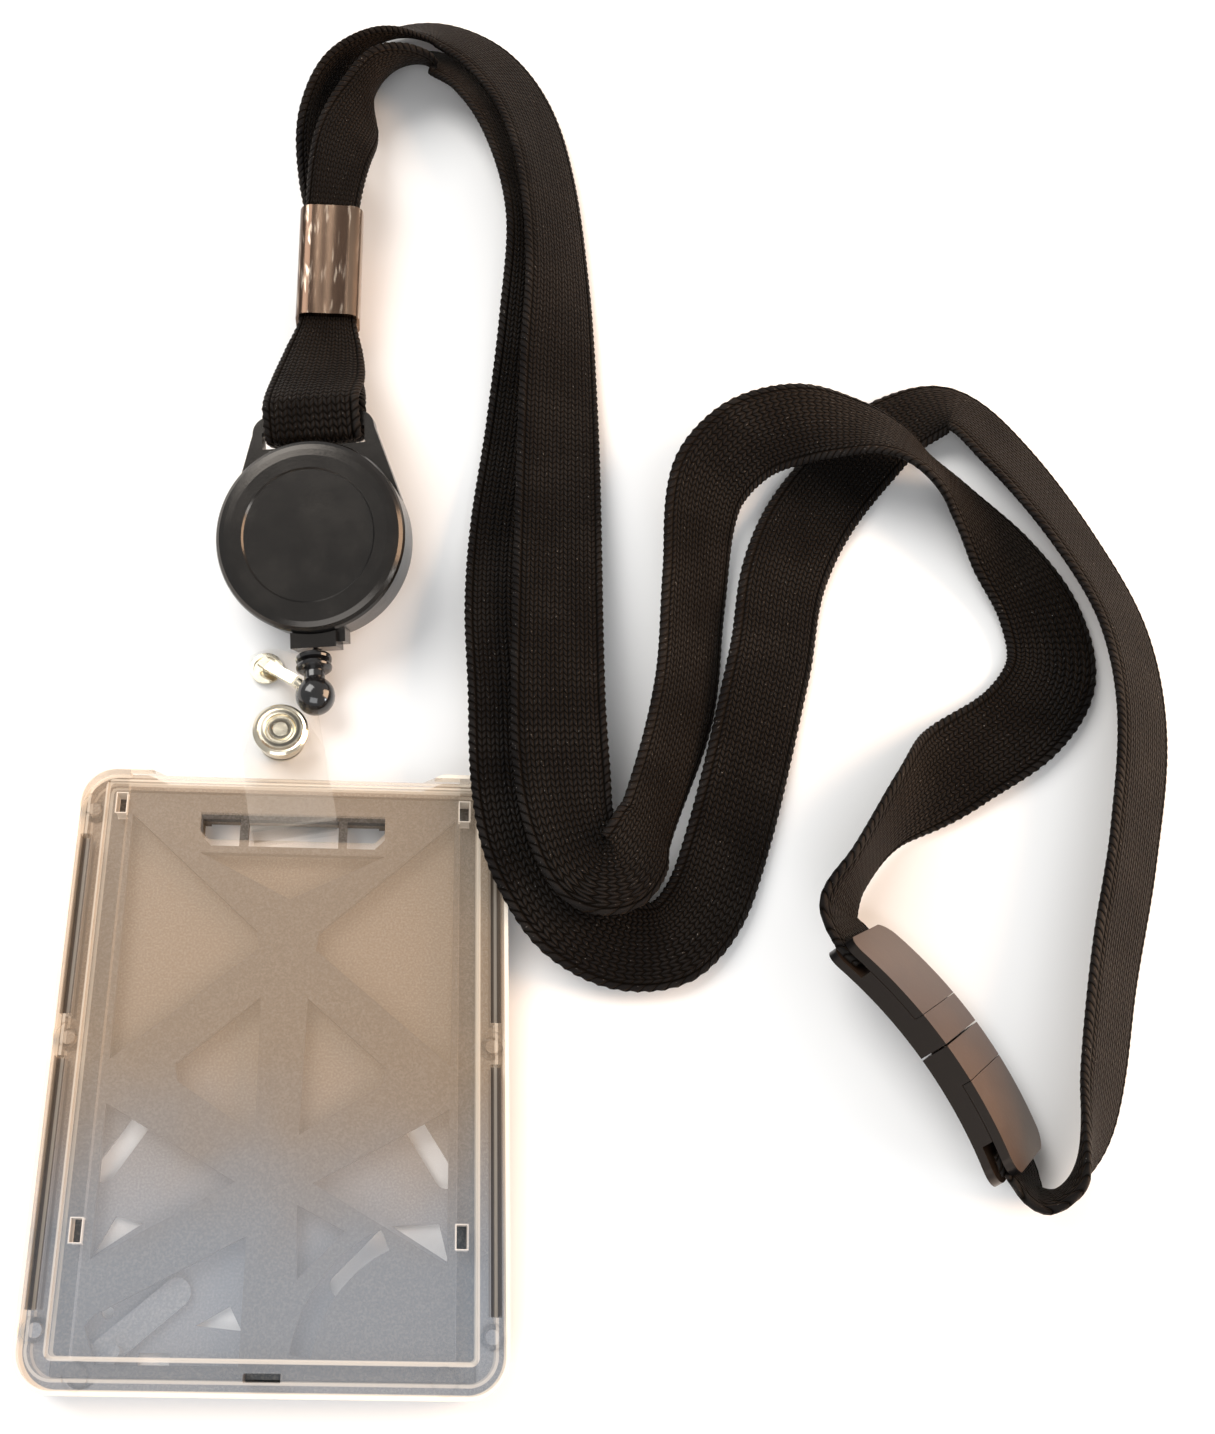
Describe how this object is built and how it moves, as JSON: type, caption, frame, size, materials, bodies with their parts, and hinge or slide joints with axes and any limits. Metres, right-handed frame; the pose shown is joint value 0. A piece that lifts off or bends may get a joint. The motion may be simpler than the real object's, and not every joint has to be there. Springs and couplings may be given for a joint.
{
  "type": "lanyard badge holder",
  "caption": "Two-shell frosted card holder on a clear snap strap, metal link, retracting cord reel, crimp and flat neck strap with a breakaway clasp.",
  "frame": {"origin": "centre of the holder's back face, which lies on the table", "axes": "+Z out of the holder's front, +Y along the holder towards the reel, +X to the right seen from the front"},
  "size_m": [0.1875, 0.2719, 0.0213],
  "materials": {
    "knit": "flat black tubular knit",
    "crimp_metal": "satin, coppery",
    "clasp_black": "satin black",
    "reel_black": "semi-gloss charcoal",
    "spool_white": "plain moulded",
    "spring_steel": "plain",
    "cord_black": "braided",
    "tip_black": "gloss black",
    "bright_metal": "bright plated",
    "clear_vinyl": "clear",
    "frosted": "frosted, translucent",
    "grey_plate": "matte grey"
  },
  "bodies": {
    "lanyard": {"neck_strap_left": "knit", "neck_strap_right": "knit", "strap_loop": "knit", "crimp": "crimp_metal", "clasp_socket": "clasp_black", "clasp_socket_jaw": "clasp_black"},
    "clasp_half": {"clasp_plug": "clasp_black", "clasp_plug_jaw": "clasp_black"},
    "reel_case": {"reel_front_cover": "reel_black", "reel_back_case": "reel_black", "mainspring": "spring_steel"},
    "spool": {"reel_spool": "spool_white", "cord_winding": "cord_black"},
    "cord_tip": {"pull_cord": "cord_black", "cord_end": "tip_black"},
    "link": {"metal_link": "bright_metal"},
    "snap_strap": {"badge_strap": "clear_vinyl", "strap_eyelet": "bright_metal", "snap_stud": "bright_metal", "snap_post": "bright_metal"},
    "snap_flap": {"strap_flap": "clear_vinyl", "snap_cap": "bright_metal", "snap_socket": "bright_metal"},
    "holder": {"holder_front": "frosted", "holder_back": "frosted", "rib_plate": "grey_plate"},
    "lever": {"ejector_lever": "grey_plate"}
  },
  "joints": [
    {"name": "reel_swing", "type": "hinge", "parent": "lanyard", "child": "reel_case", "pos_m": [0.00034, 0.11013, 0.01533], "axis": [-0.9816, 0, -0.1908], "range_deg": [0, 60], "deforming": ["strap_loop", "neck_strap_left", "neck_strap_right"]},
    {"name": "cord_pull", "type": "slide", "parent": "reel_case", "child": "cord_tip", "axis": [0.0872, -0.9962, 0], "range_m": [0, 0.86], "stiffness_N_per_m": 0.47, "springref_m": -1.7, "deforming": ["pull_cord", "neck_strap_left", "neck_strap_right"]},
    {"name": "spool_spin", "type": "hinge", "parent": "reel_case", "child": "spool", "pos_m": [0.0011, 0.0886, 0.0114], "axis": [0.1793, 0.342, -0.9224], "range_deg": [0, 4500], "deforming": ["mainspring"]},
    {"name": "link_swivel", "type": "hinge", "parent": "cord_tip", "child": "link", "pos_m": [0.00245, 0.0617, 0.0049], "axis": [-0.8, 0.6, 0], "range_deg": [0, 30]},
    {"name": "strap_swivel", "type": "hinge", "parent": "link", "child": "snap_strap", "pos_m": [-0.00657, 0.06847, 0.001], "axis": [0, 0, -1], "range_deg": [0, 45]},
    {"name": "snap_open", "type": "hinge", "parent": "snap_strap", "child": "snap_flap", "pos_m": [0.00022, 0.03739, 0.0082], "axis": [0.9816, 0.1908, 0], "range_deg": [0, 50], "deforming": ["strap_flap"]},
    {"name": "holder_swing", "type": "hinge", "parent": "snap_strap", "child": "holder", "pos_m": [0, 0.043, 0.0043], "axis": [-1, 0, 0], "range_deg": [0, 90], "deforming": ["badge_strap", "neck_strap_left", "neck_strap_right"]},
    {"name": "clasp_release", "type": "slide", "parent": "lanyard", "child": "clasp_half", "axis": [0.5255, -0.8508, 0], "range_m": [0, 0.012], "deforming": ["neck_strap_right"]},
    {"name": "lever_swing", "type": "hinge", "parent": "holder", "child": "lever", "pos_m": [-0.0258, -0.0438, 0.002], "axis": [0, 0, 1], "range_deg": [0, 18]}
  ],
  "couplings": [
    {"joint": "spool_spin", "follows": "cord_pull", "rad_per_m": 88.9}
  ]
}
